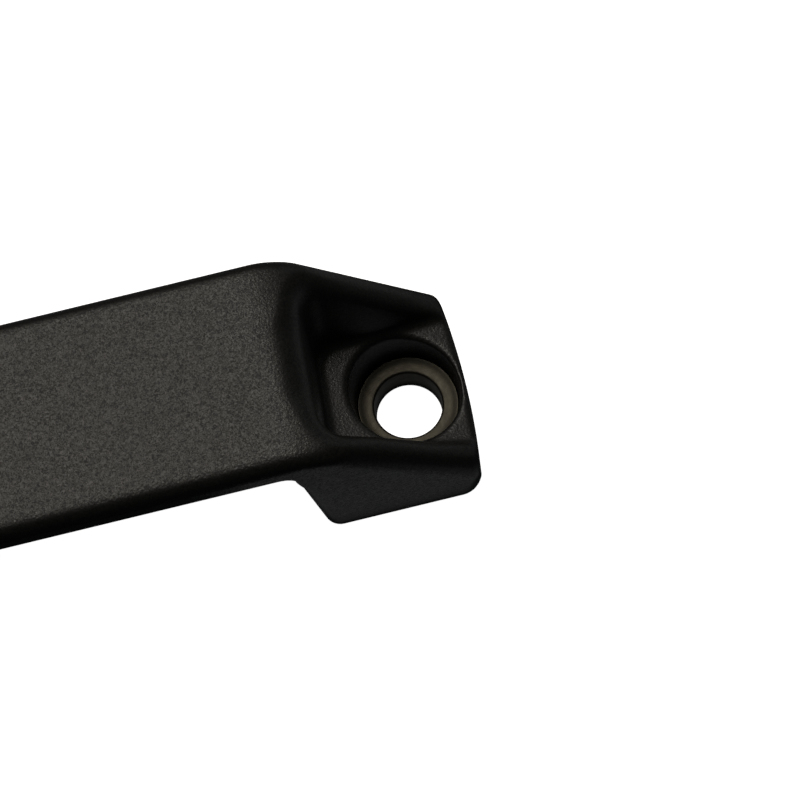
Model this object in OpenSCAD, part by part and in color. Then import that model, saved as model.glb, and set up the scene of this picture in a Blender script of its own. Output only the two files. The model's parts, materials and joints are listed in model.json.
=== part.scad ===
// Door pull handle: a black bridge-shaped grip on two sloped feet, screwed to the door through a
// deep counterbore in each foot. The mounting plane is z = 0, +X runs along the grip, +Z away from
// the door, and the origin is midway between the two screws. All sizes are in millimetres.

/* [Fixing] */
// Distance between the two screw holes
hole_spacing = 140; // [110:5:200]
// Diameter of the screw hole through each collar (M6 clearance)
hole_d = 7; // [5.5:0.1:8]
// Diameter of the counterbore at its floor
counterbore_d = 10.9; // [10:0.1:12]
// Height of the screw seat above the door
seat_z = 3.8; // [3.2:0.1:5]
// Growth of the counterbore's radius from its floor to its mouth
counterbore_draft = 0.6; // [0:0.1:0.8]

/* [Grip] */
// Height of the grip's flat top above the door
handle_h = 25.8; // [22:0.5:32]
// Width of the grip at its widest line
grip_w = 23.3; // [20:0.2:30]
// Width of the feet where they meet the door
foot_w = 19.9; // [17:0.1:26]
// Radius along the grip's upper edges and the tops of the cheeks
edge_r = 2.4; // [1:0.1:2.6]
// Depth of the grip's edge, from its top to where the underside starts
grip_edge_h = 5.2; // [4:0.1:7]
// Radius along the grip's lower edges
under_r = 0.8; // [0.4:0.1:2]
// How far the belly of the underside hangs below the grip's edges
belly_drop = 3.3; // [2.6:0.1:5]

/* [Feet] */
// Distance from the screw's axis to the end of the handle
end_x = 6.3; // [6.2:0.1:9]
// Distance from the screw's axis to the leg's inner face, at the door
leg_x = 11; // [10:0.1:14]
// Lean of the leg's inner face towards the grip's middle, in degrees
leg_lean = 8.5; // [4:0.5:14]
// Radius where the leg turns into the underside
leg_fillet = 1.5; // [1:0.5:5]
// Radius of the vertical corners at the handle's ends
corner_r = 3; // [1:0.1:4]
// Height of the slope's lower end above the door
toe_z = 8.1; // [7.6:0.1:10]
// Radius where the flat top turns into the slope
crest_r = 4; // [2:0.5:9]
// Distance from the screw's axis to the crest, before rounding
crest_x = 10; // [9:0.1:13]

/* [Pocket] */
// Height of the pocket's floor above the door at the screw's axis
pocket_z = 8.5; // [7.5:0.1:10]
// Slope of the pocket's floor, in degrees
pocket_slope = 14; // [0:1:20]
// Distance from the screw's axis to the pocket's inner wall, at its floor
pocket_x = 8.8; // [8:0.1:10]
// Lean of the pocket's inner wall, in degrees
pocket_lean = 7; // [2:1:14]
// Turn of the pocket's inner wall about the vertical, in degrees
pocket_turn = 4; // [0:1:6]
// Half width of the pocket at the screw's axis, extrapolated to the door
pocket_half_w = 4.85; // [4:0.05:6]
// Growth of the pocket's half width per millimetre of height
pocket_draft = 0.208; // [0.05:0.01:0.25]
// Growth of the pocket's half width per millimetre towards the end
pocket_flare = 0.171; // [0:0.01:0.2]

/* [Inside] */
// Thickness of the wall above the channel
top_wall = 2.4; // [1.8:0.1:3]
// Thickness of the walls at the channel's sides
side_wall = 2.4; // [1.6:0.1:3]
// Height of the ribs that the bar lies on
rib_h = 1; // [0.4:0.1:2]
// Thickness of the ribs
rib_t = 1.4; // [1:0.1:2]
// Thickness of the reinforcing bar
bar_t = 2; // [1.5:0.1:2.4]
// Length of the block of solid plastic beside each leg, measured from the screw's axis
block_x = 26; // [24:0.5:32]
// Thickness of the back cover
cover_t = 2; // [1.5:0.1:2.5]
// Distance from the screw's axis to the end of the back cover
cover_x = 18; // [17:0.5:20]
// Distance from the screw's axis to the cover's screws
cover_screw_x = 22; // [21:0.5:24]
// Length of the cover's screws under their heads
screw_len = 4.2; // [3.4:0.1:4.6]
// Diameter of the heads of the cover's screws
screw_head_d = 5.4; // [4.6:0.1:6]
// Thickness of the collars' flange
flange_t = 1.2; // [0.8:0.1:1.6]
// Wall of the collars' sleeve
sleeve_wall = 1; // [0.8:0.1:1.5]
// Thickness of the pads under the feet
pad_t = 1.2; // [0.8:0.1:1.6]
// Width of the rim round each pad
pad_rim = 2; // [1.5:0.1:3]

/* [Hidden] */
$fn = 64;

moulded_black = [0.05, 0.05, 0.045];
cover_black = [0.06, 0.06, 0.055];
steel_grey = [0.55, 0.56, 0.58];
collar_grey = [0.2, 0.19, 0.17];
pad_black = [0.08, 0.08, 0.08];
screw_black = [0.12, 0.12, 0.12];

fit = 0.05;        // radial clearance of pressed and screwed pieces
gap = 0.15;        // clearance round pieces that drop into a recess
over = 20;         // how far an outline runs past what it cuts
past = 1;          // how far a bore or recess runs past the surface it opens in
root = 0.5;        // how deep ribs and bosses are rooted in the cover
arc_steps = 8;     // flats in a rounded corner of an outline
belly_steps = 12;  // flats in each half of the belly's arc
under_share = 0.9; // share of the lower edges' rounds that lies inside the sides
toe_run = 1.1;     // length and drop of the bevel between slope and end face
toe_drop = 1;

hole_x = hole_spacing / 2;
widest_z = handle_h - edge_r;
side_lean = (grip_w - foot_w) / 2 / widest_z; // growth of the half width per millimetre of height
edge_z = handle_h - grip_edge_h;              // underside at the grip's edges
belly_z = edge_z - belly_drop;                // underside on the centre line
under_z = edge_z + under_r;                   // centre of the lower edges' rounding
side_y = grip_w / 2 - side_lean * (widest_z - under_z); // half width where those rounds end
edge_y = side_y - under_share * under_r;      // where the belly ends
belly_r = (edge_y * edge_y + belly_drop * belly_drop) / 2 / belly_drop;
slope_angle = atan((handle_h - toe_z) / (crest_x + end_x - toe_run));
channel_z = handle_h - top_wall;              // ceiling of the channel
channel_half_w = grip_w / 2 - side_wall;
rib_pitch = (hole_x - block_x) / 2.6;
bar_z = channel_z - rib_h - bar_t;            // underside of the bar
seat_r = counterbore_d / 2;
hole_r = hole_d / 2;
sleeve_r = hole_r + sleeve_wall;
boss_r = sleeve_r + 1.6;                      // plastic round the sleeve, inside the pad
pad_inner_x = leg_x - pad_rim;
pad_outer_x = end_x - pad_rim;
pad_corner_r = 1.5;
screw_r = 1.4;
screw_head_r = screw_head_d / 2;
screw_head_h = 1.4;
head_sink = 0.25;                             // how far the heads lie below the cover's surface
drive_r = 1.2;
drive_depth = 0.9;
tip_gap = 0.4;                                // room past the screws' tips
cup_r = screw_head_r + gap;
screw_z = belly_height(screw_head_r) + head_sink; // underside of the heads
screw_seat_z = screw_z + screw_head_h;        // where the heads clamp the cover
screw_boss_r = cup_r + 1.2;
screw_boss_z = screw_seat_z + 1.4;            // top of the cover's bosses
bar_rise = bar_z - gap - cover_t - belly_z;   // room for the bar beside the cover's curve
bar_w = 2 * sqrt(belly_r * belly_r - pow(belly_r - bar_rise, 2));

// Height of the belly's surface at a distance y from the centre line
function belly_height(y) = belly_z + belly_r - sqrt(belly_r * belly_r - y * y);

// Points of an arc about c, from angle a to angle b
function arc(c, r, a, b) =
    [for (i = [0:arc_steps]) let (t = a + (b - a) * i / arc_steps) c + r * [cos(t), sin(t)]];

// Rounded corner at p between directions din (arriving) and dout (leaving), both unit vectors
function corner(p, din, dout, r) =
    let (turn = acos(din * dout),
         back = r * tan(turn / 2),
         left = din[0] * dout[1] - din[1] * dout[0] > 0 ? 1 : -1,
         c = p - back * din + left * r * [-din[1], din[0]],
         a = atan2(-left * din[0], left * din[1]))
    arc(c, r, a, a + left * turn);

function unit(v) = v / norm(v);

function mirrored(points) = [for (i = [len(points) - 1:-1:0]) [-points[i][0], points[i][1]]];

// Puts children on the right screw's axis, or on the left one turned by half a turn
module at_end(side) {
    rotate([0, 0, side > 0 ? 0 : 180]) translate([hole_x, 0, 0]) children();
}

// Puts children at both ends, since the handle looks the same after half a turn
module both_ends() {
    for (side = [-1, 1]) at_end(side) children();
}

// An outline in X and Z, extruded across the handle
module across(half_w) {
    rotate([90, 0, 0]) linear_extrude(2 * half_w, center = true) children();
}

// An outline in Y and Z, extruded along the handle
module along(half_l) {
    rotate([90, 0, 90]) linear_extrude(2 * half_l, center = true) children();
}

// Side view of the handle without its gap: flat top, rounded crests, slopes and end faces
module side_outline() {
    toe = [hole_x + end_x - toe_run, toe_z];
    crest = [hole_x - crest_x, handle_h];
    slope = unit(crest - toe);
    end_top = [hole_x + end_x, toe_z - toe_drop];
    half = concat([[hole_x + end_x, 0], end_top, toe],
                  corner(crest, slope, [-1, 0], crest_r));
    polygon(concat(half, mirrored(half)));
}

// Side view of the gap for the fingers, up to where the grip's lower edges round over
module gap_outline() {
    foot = [hole_x - leg_x, 0];
    top = foot + under_z * [-tan(leg_lean), 1];
    half = concat([foot + over * [tan(leg_lean), -1], foot],
                  corner(top, unit(top - foot), [-1, 0], leg_fillet));
    polygon(concat(half, mirrored(half)));
}

// Cross-section of grip and feet: sides that lean outwards to the widest line, then round over
module section_outline() {
    half_foot = foot_w / 2;
    half = concat([[half_foot, 0]],
                  arc([grip_w / 2 - edge_r, widest_z], edge_r, 0, 90));
    polygon(concat(half, mirrored(half)));
}

// Points along the belly, from the centre line out to half_w
function belly_arc(half_w) =
    [for (i = [0:belly_steps]) let (y = half_w * i / belly_steps) [y, belly_height(y)]];

// Cross-section of everything above the belly's arc, lifted by a wall, within a half width
module belly_outline(lift, half_w) {
    half = [for (p = belly_arc(half_w)) p + [0, lift]];
    high = handle_h + over;
    polygon(concat(half, [[half_w, high], [-half_w, high]], mirrored(half)));
}

// Plan view: a long rectangle whose ends narrow to the feet, with rounded corners
module plan_outline() {
    corner_at = [hole_x + end_x - corner_r, foot_w / 2 - corner_r];
    shoulder = [corner_at[0] - 3 * corner_r, grip_w / 2];
    far = concat(arc(corner_at, corner_r, 0, 90), [shoulder]);
    half = concat([for (i = [len(far) - 1:-1:0]) [far[i][0], -far[i][1]]], far);
    polygon(concat(half, [for (p = half) -p]));
}

// The rounded cap that the slope and both cheeks share, extruded down the slope
module slope_cap() {
    half_w = grip_w / 2;
    low = -2 * hole_spacing;
    translate([hole_x - crest_x, 0, handle_h])
        rotate([0, slope_angle, 0])
            along(3 * hole_spacing)
                polygon(concat([[half_w, low]],
                               arc([half_w - edge_r, -edge_r], edge_r, 0, 90),
                               arc([edge_r - half_w, -edge_r], edge_r, 90, 180),
                               [[-half_w, low]]));
}

// Cross-section of the grip's underside: rounded lower edges and a belly, and everything above
module underside_outline() {
    high = handle_h + over;
    half = concat(belly_arc(edge_y), arc([edge_y, under_z], under_r, -90, 0), [[grip_w, under_z]]);
    polygon(concat(half, [[grip_w, high], [-grip_w, high]], mirrored(half)));
}

// The solid handle before anything is hollowed out
module handle_blank() {
    difference() {
        intersection() {
            across(grip_w) side_outline();
            along(hole_x + over) section_outline();
            linear_extrude(handle_h) plan_outline();
            slope_cap();
            rotate([0, 0, 180]) slope_cap();
        }
        difference() {
            across(grip_w) gap_outline();
            along(hole_x) underside_outline();
        }
    }
}

// Half width of the pocket at a distance x past the screw's axis and a height z
function pocket_y(x, z) = pocket_half_w + pocket_flare * x + pocket_draft * z;

function pocket_floor(x) = pocket_z - tan(pocket_slope) * x;

// The open pocket round the screw: four drafted walls over a sloped floor, open at the end
module pocket() {
    top = handle_h + over;
    x1 = end_x + over;
    points = [for (side = [-1, 1])
                  let (z0 = pocket_floor(-pocket_x),
                       x0 = side * tan(pocket_turn) * pocket_half_w - pocket_x,
                       xt = x0 - (top - z0) * tan(pocket_lean))
                      for (c = [[x0, pocket_floor(x0)], [x1, pocket_floor(x1)], [x1, top], [xt, top]])
                          [c[0], side * pocket_y(c[0], c[1]), c[1]]];
    hull() polyhedron(points, [[0, 1, 2, 3], [7, 6, 5, 4], [0, 4, 5, 1], [1, 5, 6, 2],
                               [2, 6, 7, 3], [3, 7, 4, 0]]);
}

// The counterbore, whose wall widens slightly upwards, and the hole for the collar's sleeve
module counterbore() {
    depth = pocket_floor(-seat_r) - seat_z;
    mouth_r = seat_r + counterbore_draft;
    translate([0, 0, seat_z - flange_t]) cylinder(h = flange_t, r = seat_r);
    translate([0, 0, seat_z]) cylinder(h = depth, r1 = seat_r, r2 = mouth_r);
    translate([0, 0, seat_z + depth]) cylinder(h = handle_h, r = mouth_r);
    translate([0, 0, -past]) cylinder(h = seat_z, r = sleeve_r + fit);
}

// Channel in the grip's underside, with ribs across its ceiling for the bar to lie on
module channel() {
    half_l = hole_x - block_x;
    difference() {
        translate([-half_l, -channel_half_w, belly_z - past])
            cube([2 * half_l, 2 * channel_half_w, channel_z - belly_z + past]);
        for (i = [-2:2])
            translate([i * rib_pitch - rib_t / 2, -channel_half_w, channel_z - rib_h])
                cube([rib_t, 2 * channel_half_w, rib_h]);
    }
}

// Places the screws of the back cover, one at each end on the centre line
module at_cover_screws() {
    both_ends() translate([-cover_screw_x, 0, 0]) children();
}

// The recess that the cover sits in: its own shape, a clearance larger
module cover_recess() {
    half_l = hole_x - cover_x + gap;
    half_w = channel_half_w;
    difference() {
        translate([-half_l, -half_w, belly_z - past])
            cube([2 * half_l, 2 * half_w, handle_h - belly_z]);
        along(hole_x) belly_outline(cover_t + fit, half_w + past);
    }
}

// Rounded rectangle of a pad, smaller by the clearance
module pad_shape(clearance) {
    r = pad_corner_r;
    x0 = clearance - pad_inner_x;
    x1 = pad_outer_x - clearance;
    y1 = foot_w / 2 - pad_rim - clearance;
    polygon(concat(arc([x1 - r, y1 - r], r, 0, 90), arc([x0 + r, y1 - r], r, 90, 180),
                   arc([x0 + r, r - y1], r, 180, 270), arc([x1 - r, r - y1], r, 270, 360)));
}

// Shallow recess for the pad, which leaves a boss round the collar
module pad_recess() {
    difference() {
        translate([0, 0, -past]) linear_extrude(past + pad_t) pad_shape(0);
        translate([0, 0, -past]) cylinder(h = past + pad_t, r = boss_r);
    }
}

// Plastic moulding: the blank, less everything that the other pieces sit in
module handle_body() {
    color(moulded_black) difference() {
        handle_blank();
        both_ends() pocket();
        both_ends() counterbore();
        both_ends() pad_recess();
        channel();
        cover_recess();
        at_cover_screws() {
            cylinder(h = screw_boss_z + fit, r = screw_boss_r + gap);
            cylinder(h = screw_seat_z + screw_len + tip_gap, r = screw_r + fit);
        }
    }
}

// Pad of rubber, flush with the door
module foot_pad() {
    color(pad_black) difference() {
        linear_extrude(pad_t) pad_shape(gap);
        translate([0, 0, -past]) cylinder(h = pad_t + 2 * past, r = boss_r + gap);
    }
}

// Flanged steel sleeve that takes the screw's clamping force
module collar() {
    color(collar_grey) difference() {
        union() {
            cylinder(h = seat_z - flange_t, r = sleeve_r);
            translate([0, 0, seat_z - flange_t]) cylinder(h = flange_t, r = seat_r - gap);
        }
        translate([0, 0, -past]) cylinder(h = seat_z + 2 * past, r = hole_r);
    }
}

// Flat steel bar that lies on the channel's ribs
module reinforcing_bar() {
    half_l = hole_x - block_x - gap;
    color(steel_grey) translate([-half_l, -bar_w / 2, bar_z]) cube([2 * half_l, bar_w, bar_t]);
}

// Curved cover that closes the channel, with ribs under the bar and bosses for its screws
module back_cover() {
    half_l = hole_x - cover_x;
    half_w = channel_half_w - gap;
    inner_z = belly_z + cover_t;
    color(cover_black) difference() {
        union() {
            difference() {
                intersection() {
                    along(half_l) belly_outline(0, half_w);
                    translate([-half_l, -half_w, 0]) cube([2 * half_l, 2 * half_w, edge_z + cover_t]);
                }
                along(half_l + past) belly_outline(cover_t, half_w + past);
            }
            for (i = [-1.5:1.5])
                translate([i * rib_pitch - rib_t / 2, -bar_w / 2, inner_z - root])
                    cube([rib_t, bar_w, bar_z - fit - inner_z + root]);
            at_cover_screws() translate([0, 0, inner_z - root])
                cylinder(h = screw_boss_z - inner_z + root, r = screw_boss_r);
        }
        at_cover_screws() {
            cylinder(h = handle_h, r = screw_r + gap);
            cylinder(h = screw_seat_z, r = cup_r);
        }
    }
}

// Self-tapping screw, head down, with a hexagon recess
module cover_screw() {
    difference() {
        union() {
            cylinder(h = screw_head_h, r = screw_head_r);
            cylinder(h = screw_head_h + screw_len, r = screw_r);
        }
        translate([0, 0, -past]) cylinder(h = past + drive_depth, r = drive_r, $fn = 6);
    }
}

module cover_screws() {
    color(screw_black) at_cover_screws() translate([0, 0, screw_z]) cover_screw();
}

handle_body();
back_cover();
reinforcing_bar();
at_end(-1) collar();  // collar_left
at_end(1) collar();  // collar_right
at_end(-1) foot_pad();  // foot_pad_left
at_end(1) foot_pad();  // foot_pad_right
cover_screws();
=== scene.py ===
# %% [markdown]
# # A moulded door pull handle
# The handle is one black plastic bridge with two sloped feet, a turned collar in each foot for the
# screw, a cover under the grip and a pad under each foot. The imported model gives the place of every
# piece. This lesson gives each piece its real surface and its finish.

# %% Load the frame
import json
import bpy
import numpy as np
from mathutils import Matrix, Vector


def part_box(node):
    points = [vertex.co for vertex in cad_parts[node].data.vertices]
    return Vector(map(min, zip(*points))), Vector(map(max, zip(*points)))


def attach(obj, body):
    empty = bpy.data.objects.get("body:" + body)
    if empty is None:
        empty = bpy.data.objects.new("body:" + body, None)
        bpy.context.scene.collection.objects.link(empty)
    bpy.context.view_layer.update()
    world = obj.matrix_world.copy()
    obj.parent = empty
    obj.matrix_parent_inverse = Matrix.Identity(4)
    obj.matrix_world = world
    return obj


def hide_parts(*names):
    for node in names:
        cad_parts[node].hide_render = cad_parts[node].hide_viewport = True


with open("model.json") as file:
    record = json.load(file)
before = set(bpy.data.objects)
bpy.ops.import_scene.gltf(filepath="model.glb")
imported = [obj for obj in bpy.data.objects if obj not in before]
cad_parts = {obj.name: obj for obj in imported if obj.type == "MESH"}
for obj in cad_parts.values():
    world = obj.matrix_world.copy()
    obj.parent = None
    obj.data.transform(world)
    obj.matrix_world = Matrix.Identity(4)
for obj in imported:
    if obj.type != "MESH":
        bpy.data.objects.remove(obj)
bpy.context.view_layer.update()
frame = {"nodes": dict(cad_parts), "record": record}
print("nodes:", sorted(frame["nodes"]))

# %% [markdown]
# ## Sizes
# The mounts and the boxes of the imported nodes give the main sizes. The rest are the slopes, walls
# and radii of the moulding, which no box can tell. Everything is in metres.

# %% Sizes from the frame
MM = 0.001
mounts = {m["name"]: m for m in frame["record"]["mounts"]}
screws = mounts["screw_holes"]["dims"]
hole_x = screws["spacing_x_mm"] * MM / 2
hole_r = screws["hole_r_mm"] * MM
body_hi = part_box("handle_body")[1]
collar_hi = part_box("collar_right")[1]
cover_lo, cover_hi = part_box("back_cover")
pad_lo, pad_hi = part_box("foot_pad_right")
bar_lo, bar_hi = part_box("reinforcing_bar")
screws_lo, screws_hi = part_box("cover_screws")
height = body_hi.z
half_grip = body_hi.y
end_x = body_hi.x - hole_x
seat_z = collar_hi.z
flange_r = collar_hi.y
print(f"half length {body_hi.x:.4f}, height {height:.4f}, seat {seat_z:.4f}, flange {flange_r:.4f}")

# %% Sizes of the moulding
half_foot = 9.95 * MM
edge_r = 2.0 * MM
side_lean = (half_grip - half_foot) / (height - edge_r)
crest_x = 10.0 * MM
crest_r = 3.3 * MM
toe_x = end_x - 1.1 * MM
toe_z = 8.1 * MM
end_bow = 75 * MM
bow_shift = 0.6 * MM
corner_r = 2.1 * MM
corner_top_r = 0.7 * MM
end_edge_r = 0.6 * MM
end_edge_y = 6.8 * MM
leg_x = 11.1 * MM
leg_lean = np.radians(8.5)
leg_fillet = 1.3 * MM
leg_edge_r = 1.7 * MM
under_edge_r = 0.8 * MM
belly_z = cover_lo.z
belly_r = 19.0 * MM
belly_centre = belly_z + belly_r
pocket_z = 8.5 * MM
pocket_slope = np.radians(14)
pocket_x = 8.8 * MM
pocket_lean = np.radians(4)
pocket_turn = np.radians(4)
pocket_half_w = 4.85 * MM
pocket_flare = 0.171
pocket_draft = 0.208
pocket_corner_r = 2.2 * MM
pocket_floor_r = 0.9 * MM
lip_middle, lip_corner, lip_cheek, lip_end = np.array([3.5, 2.1, 1.2, 0.5]) * MM
bore_draft = 0.115
bore_edge_r = 0.5 * MM
tiny_r = 0.1 * MM
flange_t = 1.2 * MM
top_wall = 2.4 * MM
cover_t = 2.0 * MM
rib_t = 1.4 * MM
pad_corner_r = 1.5 * MM
sleeve_r = hole_r + 1.0 * MM
boss_r = sleeve_r + 1.6 * MM
clearance = 0.15 * MM
press = 0.05 * MM
rib_pitch = (bar_hi.x + clearance) / 2.6
rib_edges = np.array([-1.1, -0.9, -0.5, 0, 0.5, 0.9, 1.1]) * MM
screw_x = screws_hi.x - 2.7 * MM
screw_seat = screws_lo.z + 1.4 * MM
screw_boss_r = 4.05 * MM
screw_boss_z = screw_seat + 1.4 * MM
cup_r = 2.85 * MM
pilot_r = 1.45 * MM
screw_hole_r = 1.55 * MM
print(f"side lean {side_lean:.4f}")

# %% [markdown]
# ## Solids as fields
# A moulding has no sharp edges: each one is rounded, and the radii run into each other at the
# corners. Beveling a cut mesh breaks up there. A field is safer. It is a function of a point that is
# negative inside the solid and grows outwards by about one metre per metre. Cutting one solid with
# another takes the larger of two fields, and a small correction rounds the edge between them.

# %% Rounded cuts and joins
def cut(a, b, r):
    """Field of what lies in both solids: the larger field, and within r of the edge a round
    whose level is the length of the two fields' excess over -r, less r."""
    r = np.maximum(r, 1e-7)
    return np.minimum(np.maximum(a, b), -r) + np.hypot(np.maximum(a + r, 0), np.maximum(b + r, 0))


def join(a, b, r):
    """Field of what lies in either solid, with a hollow round of radius r in the corner: a cut
    of the two solids' outsides, with its sign turned."""
    return -cut(-a, -b, r)


def ease(t):
    """Zero below 0, one above 1, and three t squared less two t cubed between."""
    t = np.clip(t, 0, 1)
    return t * t * (3 - 2 * t)


# %% [markdown]
# ## The outside of the bridge
# Both ends are alike when the handle is turned by half a turn, so a point on the left is first
# turned over to the right. There, `u` runs from the screw's axis towards the end, and `v` across.
# Flat top, slope, leaning sides, bowed end and the gap for the fingers are each one surface.

# %% Outside field
def end_frame(x, y):
    """Distance past the nearer screw's axis, and distance across, after half a turn on the left."""
    side = np.where(x < 0, -1.0, 1.0)
    return side * x - hole_x, side * y


def outside(u, v, z):
    """Top plane cut with the slope, then with the sides and the bowed end, then with the gap.
    The end's radius goes from a fine edge above the floor to a full round at the corners."""
    slope = np.arctan2(height - toe_z, crest_x + toe_x)
    top = cut(z - height, (u - toe_x) * np.sin(slope) + (z - toe_z) * np.cos(slope), crest_r)
    sides = np.abs(v) - half_foot - side_lean * z
    end = np.hypot(u - end_x + end_bow, v - bow_shift) - end_bow
    corner = corner_r + (corner_top_r - corner_r) * ease((z - 2 * MM) / (5 * MM))
    corner = end_edge_r + (corner - end_edge_r) * ease((np.abs(v) - end_edge_y) / (2 * MM))
    shell = cut(cut(sides, top, edge_r), end, corner)
    leg = (-leg_x - z * np.tan(leg_lean) - u) * np.cos(leg_lean)
    belly = np.where(z < belly_centre, np.hypot(v, z - belly_centre), np.abs(v)) - belly_r
    edge = leg_edge_r + (under_edge_r - leg_edge_r) * ease((z - 14 * MM) / (5 * MM))
    shell = cut(shell, join(leg, belly, leg_fillet), edge)
    return cut(shell, -z, 0.4 * MM)


# %% [markdown]
# ## The pocket, the counterbore and the recesses
# Each hollow is a field that is positive inside it. The pocket is bounded by a sloped floor, a
# steep inner wall and two cheeks that open towards the end, and its edges are rounder at the crest
# than at the end. The counterbore goes down through its floor to the collar's seat.

# %% Hollow fields
def pocket(u, v, z):
    """Smallest distance to floor, inner wall and cheeks, with hollow rounds between them."""
    floor = (z - pocket_z + u * np.tan(pocket_slope)) * np.cos(pocket_slope)
    wall_foot = pocket_z + pocket_x * np.tan(pocket_slope)
    wall = u + pocket_x + (z - wall_foot) * np.tan(pocket_lean) - v * np.tan(pocket_turn)
    cheeks = pocket_half_w + pocket_flare * u + pocket_draft * z - np.abs(v)
    return join(join(wall, cheeks, pocket_corner_r), floor, pocket_floor_r)


def bore(u, v, z):
    """Drafted counterbore down to the flange's underside, and the hole for the sleeve."""
    r = np.hypot(u, v)
    wide = np.minimum(flange_r + press + bore_draft * np.maximum(z - seat_z, 0) - r,
                      z - seat_z + flange_t)
    return wide, sleeve_r + press - r


def pad_plan(u, v, grow):
    """Distance past the pad's outline, a rounded rectangle, when it grows by that much."""
    r = pad_corner_r
    middle = (pad_hi.x + pad_lo.x) / 2 - hole_x
    du = np.abs(u - middle) - (pad_hi.x - pad_lo.x) / 2 - grow + r
    dv = np.abs(v) - pad_hi.y - grow + r
    return np.hypot(np.maximum(du, 0), np.maximum(dv, 0)) + np.minimum(np.maximum(du, dv), 0) - r


def pad_recess(u, v, z):
    """Rounded rectangle one pad deep, less a boss round the sleeve."""
    return np.minimum(np.minimum(-pad_plan(u, v, clearance), pad_hi.z - z), np.hypot(u, v) - boss_r)


def channel(x, v, z):
    """Room for the bar, less the ribs across its ceiling, and the seat of the cover below it."""
    half_w = cover_hi.y + clearance
    ceiling = height - top_wall
    room_l = bar_hi.x + clearance
    ribs = np.abs((x / rib_pitch + 0.5) % 1 - 0.5) * rib_pitch - rib_t / 2
    ribs = np.where(np.abs(x) < 2.5 * rib_pitch, ribs, MM)
    ribs = np.maximum(ribs, bar_hi.z - z)
    room = np.minimum(np.minimum(room_l - np.abs(x), half_w - np.abs(v)), ceiling - z)
    lifted = np.hypot(v, z - belly_centre - cover_t - press) - belly_r
    seat = np.minimum(np.minimum(cover_hi.x + clearance - np.abs(x), half_w - np.abs(v)),
                      np.where(z < belly_centre - 4 * MM, lifted, -MM))
    return np.maximum(np.minimum(room, ribs), seat)


def pilot_holes(x, v, z):
    """Stepped holes for the cover's bosses and screws."""
    r = np.hypot(np.abs(x) - screw_x, v)
    return np.maximum(np.minimum(pilot_r - r, screws_hi.z + 0.4 * MM - z),
                      np.minimum(screw_boss_r + clearance - r, screw_boss_z + press - z))


def bridge(x, y, z):
    """The outside, cut with every hollow. The pocket's edge is roundest in the middle of the
    crest, and its radius shrinks along the cheeks towards the end."""
    u, v = end_frame(x, y)
    middle = ease((7 * MM - np.abs(v)) / (4 * MM)) * ease((-6 * MM - u) / (4 * MM))
    lip = lip_corner + (lip_cheek - lip_corner) * ease((u + 9 * MM) / (5 * MM))
    lip = lip + (lip_end - lip_cheek) * ease((u - 1 * MM) / (5 * MM))
    lip = lip + (lip_middle - lip_corner) * middle
    solid = cut(outside(u, v, z), pocket(u, v, z), lip)
    wide, narrow = bore(u, v, z)
    solid = np.maximum(cut(solid, wide, bore_edge_r), narrow)
    solid = cut(solid, pad_recess(u, v, z), tiny_r)
    solid = cut(solid, channel(x, v, z), tiny_r)
    return np.maximum(solid, pilot_holes(x, v, z))


# %% [markdown]
# ## From a field to a mesh
# The grid's cells that the surface passes through get one vertex each, and every grid edge that
# crosses the surface gets one quad between its four cells. The vertices then slide down the field
# until they lie on the surface, so the grid's size sets the detail and not the accuracy.

# %% Skin of a field
def gradient(field, p, h=0.01 * MM):
    """Central differences of the field along x, y and z."""
    step = np.eye(3) * h
    return np.stack([field(*(p + s).T) - field(*(p - s).T) for s in step], axis=1) / (2 * h)


def settle(field, p, turns=3):
    """Newton's steps along the gradient, each at most a quarter of a millimetre."""
    for _ in range(turns):
        g = gradient(field, p)
        move = field(*p.T)[:, None] * g / np.maximum((g * g).sum(axis=1, keepdims=True), 1e-3)
        length = np.linalg.norm(move, axis=1, keepdims=True)
        p = p - move * np.minimum(1, 0.25 * MM / np.maximum(length, 1e-12))
    return p


def cell_vertices(values, axes, cells):
    """Mean of the points where a cell's twelve edges cross the surface."""
    corners = np.stack(np.meshgrid([0, 1], [0, 1], [0, 1], indexing="ij"), axis=-1).reshape(-1, 3)
    at = cells[:, None, :] + corners
    f = values[at[..., 0], at[..., 1], at[..., 2]]
    p = np.stack([axes[k][at[..., k]] for k in range(3)], axis=-1)
    a, b = np.nonzero(np.triu(np.abs(corners[:, None] - corners[None]).sum(axis=2) == 1))
    crossed = (f[:, a] < 0) != (f[:, b] < 0)
    t = np.where(crossed, f[:, a] / np.where(crossed, f[:, a] - f[:, b], 1), 0)
    q = p[:, a] + t[..., None] * (p[:, b] - p[:, a])
    return (q * crossed[..., None]).sum(axis=1) / crossed.sum(axis=1, keepdims=True)


def quads(inside, number):
    """One quad round each crossed grid edge, turned so that its face looks out of the solid."""
    found = []
    for axis in range(3):
        here = np.moveaxis(inside, axis, 0)
        cells = np.moveaxis(number, axis, 0)
        crossed = here[:-1, 1:-1, 1:-1] != here[1:, 1:-1, 1:-1]
        i, j, k = np.nonzero(crossed)
        ring = [cells[i, j, k], cells[i, j + 1, k], cells[i, j + 1, k + 1], cells[i, j, k + 1]]
        ring = np.stack(ring, axis=1)
        outwards = here[i, j + 1, k + 1] == (axis != 1)
        found.append(np.where(outwards[:, None], ring, ring[:, ::-1]))
    return np.concatenate(found)


def relax(field, p, faces, turns):
    """Each vertex goes a third of the way to the mean of its neighbours, then settles again."""
    a, b = faces.ravel(), np.roll(faces, -1, axis=1).ravel()
    count = np.bincount(a, minlength=len(p)) + np.bincount(b, minlength=len(p))
    for _ in range(turns):
        total = [np.bincount(a, p[b, k], len(p)) + np.bincount(b, p[a, k], len(p)) for k in range(3)]
        p = settle(field, p + (np.stack(total, axis=1) / count[:, None] - p) / 3, 1)
    return p


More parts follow.
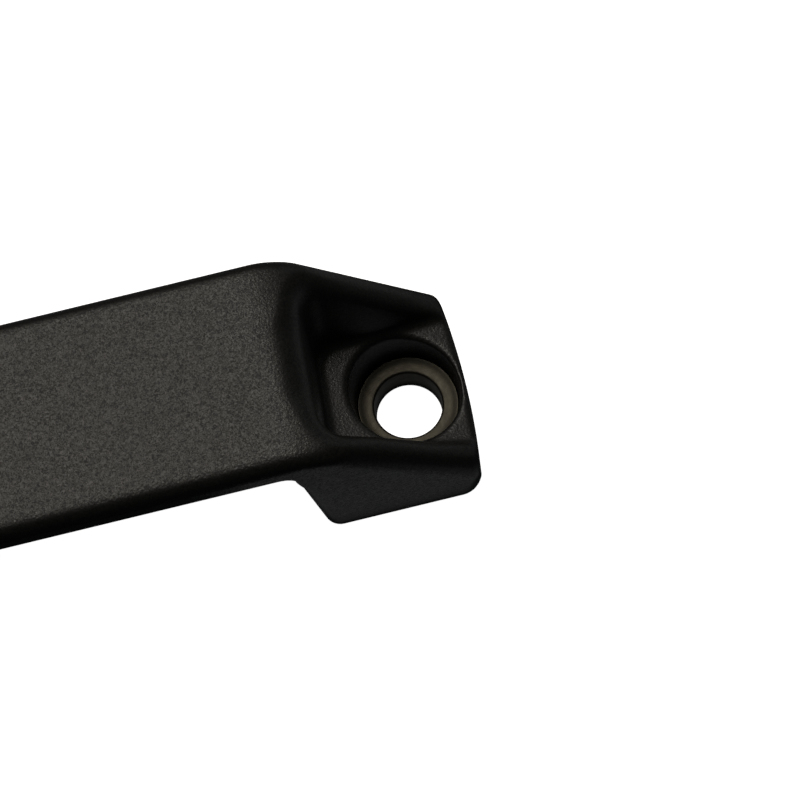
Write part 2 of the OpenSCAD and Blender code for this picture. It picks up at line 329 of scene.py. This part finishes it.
def skin(field, xs, ys, zs, turns=3):
    """Vertices and quads of the surface where the field is zero."""
    values = field(*np.meshgrid(xs, ys, zs, indexing="ij"))
    inside = values < 0
    whole = sum(inside[i:i - 1 or None, j:j - 1 or None, k:k - 1 or None].astype(np.int8)
                for i in (0, 1) for j in (0, 1) for k in (0, 1))
    mixed = (whole > 0) & (whole < 8)
    number = np.full(mixed.shape, -1)
    number[mixed] = np.arange(mixed.sum())
    p = settle(field, cell_vertices(values, (xs, ys, zs), np.argwhere(mixed)))
    faces = quads(inside, number)
    return relax(field, p, faces, turns), faces


# %% Mesh from arrays
def mesh_piece(name, points, faces, smooth=True):
    """A mesh object at the origin from an array of points and an array of faces."""
    mesh = bpy.data.meshes.new(name)
    mesh.from_pydata(points.tolist(), [], faces.tolist())
    mesh.polygons.foreach_set("use_smooth", np.full(len(mesh.polygons), smooth))
    mesh.update()
    piece = bpy.data.objects.new(name, mesh)
    bpy.context.scene.collection.objects.link(piece)
    print(f"{name}: {len(points)} points, {len(faces)} faces")
    return piece


def finish_piece(piece, node):
    """Rides on the one body and stands for its node, which it hides."""
    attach(piece, "root")
    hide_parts(node)


# %% [markdown]
# ## The bridge's own grid
# Between the feet the section hardly changes, so long cells do there, with short ones at the ribs.
# Over the feet the cells are a third of a millimetre, and settling draws finer edges than that.

# %% Make the bridge
fine = 0.33 * MM


def bridge_stations():
    """Places along x: fine over each foot, coarse between, and close at each rib's faces."""
    foot = np.arange(screw_x - screw_boss_r - MM, body_hi.x + 2 * fine, fine)
    ribs = (rib_pitch * np.arange(3)[:, None] + rib_edges).ravel()
    ends = bar_hi.x + clearance + np.array([-0.6, -0.2, 0.2, 0.6]) * MM
    coarse = np.arange(3.0, 50, 3.0) * MM
    right = np.concatenate([ribs[ribs > 0], ends, coarse])
    right = np.unique(np.round(right[right < foot[0]], 6))
    right = np.concatenate([right[np.diff(right, append=1) > 0.15 * MM], foot])
    return np.concatenate([-right[::-1], right])


stations = bridge_stations()
across = np.arange(-half_grip - 2 * fine, half_grip + 2 * fine, fine)
upward = np.arange(-2.5 * fine, height + 2 * fine, fine)
points, faces = skin(bridge, stations, across, upward)
handle_body = mesh_piece("moulded_bridge", points, faces)
finish_piece(handle_body, "handle_body")
print("bridge box:", points.min(axis=0), points.max(axis=0))


# %% [markdown]
# ## Turned pieces
# A collar is turned on a lathe: one closed profile carried round an axis. Its points are a grid of
# profile by angle that closes both ways, like a ring.

# %% Grid helpers
def ring_faces(rows, columns):
    """Quads of a grid that closes both ways."""
    r = np.arange(rows)[:, None]
    c = np.arange(columns)[None, :]
    up, next_c = (r + 1) % rows, (c + 1) % columns
    at = [r * columns + c, r * columns + next_c, up * columns + next_c, up * columns + c]
    return np.stack(np.broadcast_arrays(*at), axis=-1).reshape(-1, 4)


round_steps = 96


def turned(profile, centre):
    """Profile points (r, z) carried round the z axis through centre: x = r cos a, y = r sin a."""
    a = np.linspace(0, 2 * np.pi, round_steps, endpoint=False)
    r, z = profile[:, :1], profile[:, 1:]
    grid = np.stack([r * np.cos(a), r * np.sin(a), z + 0 * a], axis=-1)
    return (grid + np.array(centre)).reshape(-1, 3)


def rounded(corners, radii, steps=6):
    """A closed outline with each corner replaced by a quadratic curve that starts and ends one
    radius away from it: (1-t)^2 start + 2t(1-t) corner + t^2 end."""
    c = np.array(corners, float)
    before, after = np.roll(c, 1, axis=0) - c, np.roll(c, -1, axis=0) - c
    r = np.array(radii, float)[:, None]
    start = c + before / np.linalg.norm(before, axis=1, keepdims=True) * r
    end = c + after / np.linalg.norm(after, axis=1, keepdims=True) * r
    t = np.linspace(0, 1, steps)[None, :, None]
    curve = (1 - t) ** 2 * start[:, None] + 2 * t * (1 - t) * c[:, None] + t ** 2 * end[:, None]
    return curve.reshape(-1, 2)


# %% [markdown]
# ## The collars
# Each foot is clamped through a steel collar: a sleeve as long as the foot's floor is thick, with a
# flange that spreads the screw's force. The flange is faintly dished by the press, and both mouths
# of the hole have a small radius.

# %% Make the collars
dish = 0.25 * MM
taper = 0.08 * MM


def collar_profile():
    """Closed section of the collar, from the sleeve's foot up the outside and down the hole."""
    under = seat_z - flange_t
    corners = [(hole_r - taper, 0), (sleeve_r, 0), (sleeve_r, under), (flange_r, under),
               (flange_r, seat_z), (hole_r + 1.0 * MM, seat_z - dish), (hole_r + taper, seat_z - dish)]
    radii = np.array([0.2, 0.15, 0.05, 0.15, 0.2, 0.4, 0.3]) * MM
    return rounded(corners, radii)


def collar(name, node):
    """Turns the collar about the hole's axis and gives it the node's place."""
    lo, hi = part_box(node)
    profile = collar_profile()
    centre = ((lo.x + hi.x) / 2, (lo.y + hi.y) / 2, 0)
    piece = mesh_piece(name, turned(profile, centre), ring_faces(len(profile), round_steps))
    finish_piece(piece, node)
    return piece


collars = [collar(f"turned_{node}", node) for node in ("collar_left", "collar_right")]

# %% [markdown]
# ## The back cover
# The cover's underside continues the belly of the grip, and its two screws sit in cups. It has the
# same mix of curves and holes as the bridge, so it is a field too.

# %% Make the cover
def cover(x, y, z):
    """Two belly surfaces one wall apart, cut to length and width, with cups, holes and ribs."""
    lift = z - belly_centre
    wall = cut(np.hypot(y, lift) - belly_r, belly_r - np.hypot(y, lift - cover_t), tiny_r)
    sides = cut(np.abs(x) - cover_hi.x, np.abs(y) - cover_hi.y, 1.0 * MM)
    shell = cut(cut(wall, sides, 0.3 * MM), z - cover_hi.z, tiny_r)
    rib_foot = belly_z + 1.5 * MM
    ribs = np.abs(x / rib_pitch % 1 - 0.5) * rib_pitch - rib_t / 2
    ribs = np.maximum(np.maximum(ribs, np.abs(x) - 2 * rib_pitch), np.abs(y) - bar_hi.y)
    ribs = np.maximum(ribs, np.maximum(z - bar_lo.z + press, rib_foot - z))
    r = np.hypot(np.abs(x) - screw_x, y)
    boss = cut(r - screw_boss_r, np.maximum(z - screw_boss_z, rib_foot - z), 0.15 * MM)
    cup = np.minimum(cup_r - r, screw_seat - z)
    return np.maximum(cut(np.minimum(np.minimum(shell, ribs), boss), cup, 0.12 * MM), screw_hole_r - r)


def cover_stations():
    """Places along x: fine at the cups and the ends, coarse between, close at the ribs."""
    cups = np.arange(screw_x - screw_boss_r - MM, cover_hi.x + 2 * fine, fine)
    ribs = (rib_pitch * np.array([[0.5], [1.5]]) + rib_edges).ravel()
    right = np.unique(np.concatenate([ribs, np.arange(1.5, 44, 3.0) * MM]).round(6))
    right = np.concatenate([right[np.diff(right, append=1) > 0.15 * MM], cups])
    return np.concatenate([-right[::-1], right])


points, faces = skin(cover, cover_stations(),
                     np.arange(cover_lo.y - 2 * fine, cover_hi.y + 2 * fine, fine),
                     np.arange(cover_lo.z - 2 * fine, cover_hi.z + 2 * fine, fine))
back_cover = mesh_piece("curved_back_cover", points, faces)
finish_piece(back_cover, "back_cover")
print("cover box:", points.min(axis=0), points.max(axis=0), "node", cover_lo, cover_hi)


# %% [markdown]
# ## Bar, pads and screws
# The flat bar stiffens the grip, a foam pad in each foot keeps it from rattling, and two small
# self-tapping screws hold the cover. Slabs, rounds and a helix describe them, so they are fields.

# %% Bar and pads
def slab_field(lo, hi, r):
    """A box from lo to hi: each pair of faces is one field, cut with radius r."""
    def field(x, y, z):
        """Distance past the farthest face, rounded at the edges."""
        x_out = np.maximum(lo[0] - x, x - hi[0])
        y_out = np.maximum(lo[1] - y, y - hi[1])
        z_out = np.maximum(lo[2] - z, z - hi[2])
        return cut(cut(x_out, y_out, r), z_out, r)
    return field


def pad_field(side):
    """The foam pad: a rounded rectangle one pad thick, less a round hole for the boss."""
    def field(x, y, z):
        """Plan outline cut with the two faces and with the hole."""
        u, v = side * x - hole_x, side * y
        plan = np.maximum(pad_plan(u, v, 0), boss_r + clearance - np.hypot(u, v))
        return cut(plan, np.maximum(-z, z - pad_hi.z), 0.12 * MM)
    return field


def even(lo, hi, step):
    """Grid lines from just below lo to just above hi."""
    return np.arange(lo - 2 * step, hi + 2 * step, step)


bar_ends = even(bar_hi.x - 1.5 * MM, bar_hi.x, fine)
between = np.linspace(-bar_ends[0], bar_ends[0], 17)[1:-1]
bar_lines = np.concatenate([-bar_ends[::-1], between, bar_ends])
points, faces = skin(slab_field(bar_lo, bar_hi, 0.3 * MM), bar_lines,
                     even(bar_lo.y, bar_hi.y, fine), even(bar_lo.z, bar_hi.z, 0.2 * MM))
reinforcing_bar = mesh_piece("rolled_bar", points, faces)
finish_piece(reinforcing_bar, "reinforcing_bar")

pads = []
for side, node in ((-1, "foot_pad_left"), (1, "foot_pad_right")):
    lo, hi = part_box(node)
    points, faces = skin(pad_field(side), even(lo.x, hi.x, 0.25 * MM), even(lo.y, hi.y, 0.25 * MM),
                         even(lo.z, hi.z, 0.15 * MM), 1)
    pads.append(mesh_piece(f"foam_{node}", points, faces))
    finish_piece(pads[-1], node)


# %% Screws
head_r = screws_hi.y
shank_r = 1.4 * MM
thread_pitch = 1.1 * MM


def screw_field(x, y, z):
    """A raised head with a six-sided recess, and a shank whose radius follows a helix: it depends
    on height over pitch less angle over a full turn."""
    r, angle = np.hypot(x, y), np.arctan2(y, x)
    up = z - screws_lo.z
    phase = (up / thread_pitch - angle / (2 * np.pi)) % 1
    tip = np.clip((screws_hi.z - z) / (1.2 * MM), 0.25, 1)
    thread = (r - shank_r * tip * (0.74 + 0.26 * np.abs(2 * phase - 1) ** 1.5)) * 0.8
    shank = np.maximum(thread, z - screws_hi.z + 0.05 * MM)
    head = cut(cut(r - head_r, -up, 0.45 * MM), up - 1.4 * MM, 0.1 * MM)
    facet = np.abs((angle + np.pi / 6) % (np.pi / 3) - np.pi / 6)
    recess = np.minimum(1.05 * MM - r * np.cos(facet), 0.9 * MM - up)
    return np.maximum(np.minimum(head, shank), recess)


small = 0.13 * MM
one_screw, screw_faces = skin(screw_field, even(-head_r, head_r, small), even(-head_r, head_r, small),
                              even(screws_lo.z, screws_hi.z, small), 1)
places = np.array([(-screw_x, 0, 0), (screw_x, 0, 0)])
points = (one_screw[None] + places[:, None]).reshape(-1, 3)
faces = (screw_faces[None] + len(one_screw) * np.arange(2)[:, None, None]).reshape(-1, 4)
cover_screws = mesh_piece("self_tapping_screws", points, faces)
finish_piece(cover_screws, "cover_screws")

# %% [markdown]
# ## Finishes
# The bridge comes out of a spark-eroded mould: its flat faces carry a fine pebbled grain, which
# fades on the rounded edges, where the mould was polished. A vertex attribute says how much grain
# a place has, and the same amount sets how pale its colour is: the top is palest, and the sides, the
# low faces and most of all the rounds are painted darker as shade. The grain itself is noise and
# small cells, on Object coordinates, in metres.

# %% Node helpers
def new_material(name):
    """A material with its node tree, the shader and its links."""
    mat = bpy.data.materials.new(name)
    mat.use_nodes = True
    tree = mat.node_tree
    return mat, tree, tree.nodes["Principled BSDF"]


def add(tree, kind, **values):
    """A node of that kind; names with a value set inputs, or properties if no input has it."""
    node = tree.nodes.new(kind)
    for key, value in values.items():
        name = key.replace("_", " ")
        if name in node.inputs:
            node.inputs[name].default_value = value
        else:
            setattr(node, key, value)
    return node


def pattern(tree, kind, scale, **values):
    """A noise or cell texture on Object coordinates; scale is in features per metre."""
    place = add(tree, "ShaderNodeTexCoord")
    texture = add(tree, kind, Scale=scale, **values)
    tree.links.new(place.outputs["Object"], texture.inputs["Vector"])
    return texture


def ramp(tree, source, low, high, out_low, out_high):
    """Maps low..high of the source to out_low..out_high, and holds it there outside."""
    node = tree.nodes.new("ShaderNodeMapRange")
    for k, value in enumerate((low, high, out_low, out_high)):
        node.inputs[k + 1].default_value = value
    tree.links.new(source, node.inputs[0])
    return node.outputs[0]


def blend_colours(tree, factor, first, second):
    """Mix of two colours by a factor."""
    node = add(tree, "ShaderNodeMix", data_type="RGBA")
    node.inputs[6].default_value = (*first, 1)
    node.inputs[7].default_value = (*second, 1)
    tree.links.new(factor, node.inputs[0])
    return node.outputs[2]


def maths(tree, operation, a, b):
    """One Math node; a and b are sockets or numbers."""
    node = add(tree, "ShaderNodeMath", operation=operation)
    for k, value in enumerate((a, b)):
        if isinstance(value, (int, float)):
            node.inputs[k].default_value = value
        else:
            tree.links.new(value, node.inputs[k])
    return node.outputs[0]


def relief(tree, shader, height, distance):
    """Bump from a height socket; distance is the relief's depth in metres."""
    bump = add(tree, "ShaderNodeBump", Strength=1.0, Distance=distance)
    tree.links.new(height, bump.inputs["Height"])
    tree.links.new(bump.outputs["Normal"], shader.inputs["Normal"])


# %% Grained black plastic
# Painted light in the colour: the paler crown colour is the plastic's near black lifted by a painted
# glint, and the near-black hollow colour is painted shade.
crown_glint_black = (0.0340, 0.0328, 0.0296)
hollow_shade_black = (0.0020, 0.0020, 0.0019)


def grained_plastic(name, pebble=0.28 * MM, depth=0.05 * MM):
    """Near-black plastic with pebbles, fine noise on them, and wrinkles whose crowns are glossier
    than the hollows between; the crowns are also painted paler as a glint, the hollows darker as
    shade."""
    mat, tree, shader = new_material(name)
    # This attribute carries both the graining and a painted shade: less of it gives a darker colour as
    # well as a weaker relief.
    amount = add(tree, "ShaderNodeAttribute", attribute_name="grain_and_shade").outputs["Fac"]
    cells = pattern(tree, "ShaderNodeTexVoronoi", 1 / pebble, feature="SMOOTH_F1", Smoothness=0.6)
    fine_noise = pattern(tree, "ShaderNodeTexNoise", 2.2 / pebble, Detail=3.0, Roughness=0.6)
    height = maths(tree, "MULTIPLY_ADD", fine_noise.outputs["Fac"], 0.9)
    tree.links.new(cells.outputs["Distance"], height.node.inputs[2])
    relief(tree, shader, maths(tree, "MULTIPLY", height, amount), depth)
    wrinkle = pattern(tree, "ShaderNodeTexNoise", 1.05 / pebble, Detail=2.0, Roughness=0.6,
                      Distortion=1.5)
    glint_on_crowns = maths(tree, "MULTIPLY", ramp(tree, wrinkle.outputs["Fac"], 0.40, 0.60, 0, 1), amount)
    hollow = maths(tree, "MULTIPLY", ramp(tree, wrinkle.outputs["Fac"], 0.40, 0.60, 1, 0), amount)
    # The crowns are painted paler as a glint and the hollows darker as shade.
    tree.links.new(blend_colours(tree, glint_on_crowns, hollow_shade_black, crown_glint_black), shader.inputs["Base Color"])
    tree.links.new(ramp(tree, hollow, 0, 1, 0.36, 0.64), shader.inputs["Roughness"])
    shader.inputs["Specular IOR Level"].default_value = 0.5
    return mat


def paint_grain_and_shade(piece, field, low, high):
    """Stores the amount of graining at each vertex, from the field's unit gradient: all of it on the
    top, less on the low floors and the outer sides, and least on the rounds between. The same amount
    sets how pale the colour is, so less of it paints shade: the outer sides a little darker, the low
    floors darker and the rounds darkest."""
    mesh = piece.data
    p = np.empty(3 * len(mesh.vertices))
    mesh.vertices.foreach_get("co", p)
    p = p.reshape(-1, 3)
    g = gradient(field, p)
    n = g / np.maximum(np.linalg.norm(g, axis=1, keepdims=True), 1e-9)
    # Painted shade: faces low down get a quarter as much, which darkens their colour as well as their
    # relief.
    level = 0.25 + 0.75 * ease((p[:, 2] - 14 * MM) / (6 * MM))
    side = 0.7 * ease((n[:, 1] * np.sign(p[:, 1]) - 0.90) / 0.08)
    flat = np.maximum(level * ease((np.abs(n[:, 2]) - 0.84) / 0.14), side)
    layer = mesh.attributes.new("grain_and_shade", "FLOAT", "POINT")
    layer.data.foreach_set("value", low + (high - low) * flat)


# The rounds keep about a third of the amount and so are painted darkest, as shade.
paint_grain_and_shade(handle_body, bridge, 0.32, 1.0)
handle_body.data.materials.append(grained_plastic("grained_black_moulding"))


# %% Smooth finishes
def plain_finish(name, colour, colour_2, roughness, metallic=0.0, scale=900.0, depth=0.01 * MM,
                 stretch=(1, 1, 1)):
    """A finish with one stretched noise, which varies colour and roughness and lifts the surface."""
    mat, tree, shader = new_material(name)
    noise = pattern(tree, "ShaderNodeTexNoise", scale, Detail=5.0, Roughness=0.6)
    place = noise.inputs["Vector"].links[0].from_socket
    mapping = add(tree, "ShaderNodeMapping")
    mapping.inputs["Scale"].default_value = stretch
    tree.links.new(place, mapping.inputs["Vector"])
    tree.links.new(mapping.outputs["Vector"], noise.inputs["Vector"])
    mixed = blend_colours(tree, noise.outputs["Fac"], colour, colour_2)
    tree.links.new(mixed, shader.inputs["Base Color"])
    rough = ramp(tree, noise.outputs["Fac"], 0.3, 0.7, roughness - 0.06, roughness + 0.06)
    tree.links.new(rough, shader.inputs["Roughness"])
    shader.inputs["Metallic"].default_value = metallic
    relief(tree, shader, noise.outputs["Fac"], depth)
    return mat


finishes = {
    "collar": plain_finish("dark_phosphated_steel", (0.030, 0.0275, 0.0215),
                           (0.042, 0.0385, 0.0305), 0.50, 1.0, scale=1500.0, depth=0.012 * MM),
    "cover": plain_finish("satin_black_cover", (0.020, 0.020, 0.019), (0.030, 0.029, 0.027), 0.48,
                          scale=2500.0, depth=0.02 * MM),
    "bar": plain_finish("zinc_plated_bar", (0.45, 0.46, 0.48), (0.62, 0.62, 0.61), 0.36, 1.0,
                        scale=500.0, depth=0.01 * MM, stretch=(0.03, 1, 1)),
    "pad": plain_finish("foam_rubber", (0.012, 0.012, 0.012), (0.032, 0.032, 0.032), 0.9,
                        scale=2600.0, depth=0.08 * MM),
    "screw": plain_finish("black_zinc", (0.05, 0.05, 0.052), (0.10, 0.10, 0.10), 0.38, 0.8,
                          scale=1800.0, depth=0.006 * MM),
}
for piece in collars:
    piece.data.materials.append(finishes["collar"])
for piece in pads:
    piece.data.materials.append(finishes["pad"])
back_cover.data.materials.append(finishes["cover"])
reinforcing_bar.data.materials.append(finishes["bar"])
cover_screws.data.materials.append(finishes["screw"])
print("finishes:", len(finishes) + 1)

# %% [markdown]
# ## Floor, light and camera
# A pale floor runs out of view. One broad soft light hangs over the handle, a little behind it, so
# that flat faces catch it and the edges turn away from it. The floor is bright to the camera and
# hidden from reflections, so dim lamps that lie on it and face up stand for its glow.

# %% Floor
floor_half = 1.5
points = np.array([(-1, -1, 0), (1, -1, 0), (1, 1, 0), (-1, 1, 0)]) * floor_half
floor = mesh_piece("floor", points - np.array([0, 0, 0.05 * MM]), np.array([[0, 1, 2, 3]]), False)
floor_mat, _, floor_shader = new_material("pale_floor")
floor_shader.inputs["Base Color"].default_value = (0.86, 0.86, 0.86, 1)
floor_shader.inputs["Roughness"].default_value = 0.95
floor_shader.inputs["Specular IOR Level"].default_value = 0.1
floor_shader.inputs["Emission Color"].default_value = (1, 1, 1, 1)
floor_shader.inputs["Emission Strength"].default_value = 1.0
floor.data.materials.append(floor_mat)
floor.visible_diffuse = False
floor.visible_glossy = False


# %% Lights
def area_light(name, shape, size, power, colour, place, turn):
    """An area light of a shape and size, at a place, with its back to the direction of turn."""
    data = bpy.data.lights.new(name, "AREA")
    data.shape, data.energy, data.color = shape, power, colour
    data.size, data.size_y = size
    light = bpy.data.objects.new(name, data)
    light.location = place
    light.rotation_mode = "QUATERNION"
    light.rotation_quaternion = Vector(turn).to_track_quat("Z", "Y")
    light.visible_camera = False
    bpy.context.scene.collection.objects.link(light)


def soft_light(name, towards, size, power, colour):
    """A round light nine tenths of a metre from the handle, in a direction, that faces it."""
    direction = Vector(towards).normalized()
    area_light(name, "DISK", (size, size), power, colour, direction * 0.9, direction)


def floor_glow(name, shape, size, power, x, y, z=0.2 * MM):
    """A white lamp that lies just above the floor at a place and faces up."""
    area_light(name, shape, size, power, (1, 1, 1), (x, y, z), (0, 0, -1))


soft_light("broad_overhead", (0.02, 0.33, 0.94), 0.46, 4.1, (1.0, 0.955, 0.88))
soft_light("right_back", (0.75, 0.60, 0.30), 0.4, 0.12, (0.95, 0.97, 1.0))
for name, side in (("left", -1), ("right", 1)):
    floor_glow(f"{name}_floor_glow", "RECTANGLE", (0.034, 0.014), 1.6e-4,
               side * (hole_x - 3 * MM), -half_foot - 7.5 * MM)
    floor_glow(f"{name}_hole_glow", "DISK", (0.006, 0.006), 1.2e-5, side * hole_x, 0, 0.1 * MM)
    floor_glow(f"{name}_end_glow", "RECTANGLE", (0.05, 0.05), 1.0e-3,
               side * (hole_x + 43 * MM), side * 21 * MM)
floor_glow("back_floor_glow", "RECTANGLE", (0.30, 0.06), 4.0e-3, 0, half_foot + 45 * MM)
world = bpy.data.worlds.new("studio")
bpy.context.scene.world = world
world.use_nodes = True
world.node_tree.nodes["Background"].inputs["Color"].default_value = (0.88, 0.94, 1, 1)
world.node_tree.nodes["Background"].inputs["Strength"].default_value = 0.012
bpy.context.scene.view_settings.view_transform = "Standard"


# %% Camera
azimuth, elevation, roll = np.radians((-6.0, 70.0, -8.0))
long_lens = 800.0
view_width = 83.6 * MM
right = np.array([np.cos(azimuth), np.sin(azimuth), 0])
back = np.array([np.sin(azimuth) * np.cos(elevation), -np.cos(azimuth) * np.cos(elevation),
                 np.sin(elevation)])
up = np.cross(back, right)
right, up = (np.cos(roll) * right + np.sin(roll) * up, np.cos(roll) * up - np.sin(roll) * right)
lens = bpy.data.cameras.new("long_lens")
lens.lens = long_lens
lens.sensor_width = 36.0
distance = view_width * long_lens / lens.sensor_width
aim_shift = (-0.85 * right + 0.44 * up) * MM
target = np.array([hole_x, 0, seat_z]) + aim_shift
camera = bpy.data.objects.new("camera", lens)
camera.matrix_world = Matrix([[*row, t] for row, t in zip(np.stack([right, up, back]).T,
                                                         target + distance * back)] + [[0, 0, 0, 1]])
lens.clip_end = 10
bpy.context.scene.collection.objects.link(camera)
bpy.context.scene.camera = camera
print(f"camera {distance:.2f} m away")
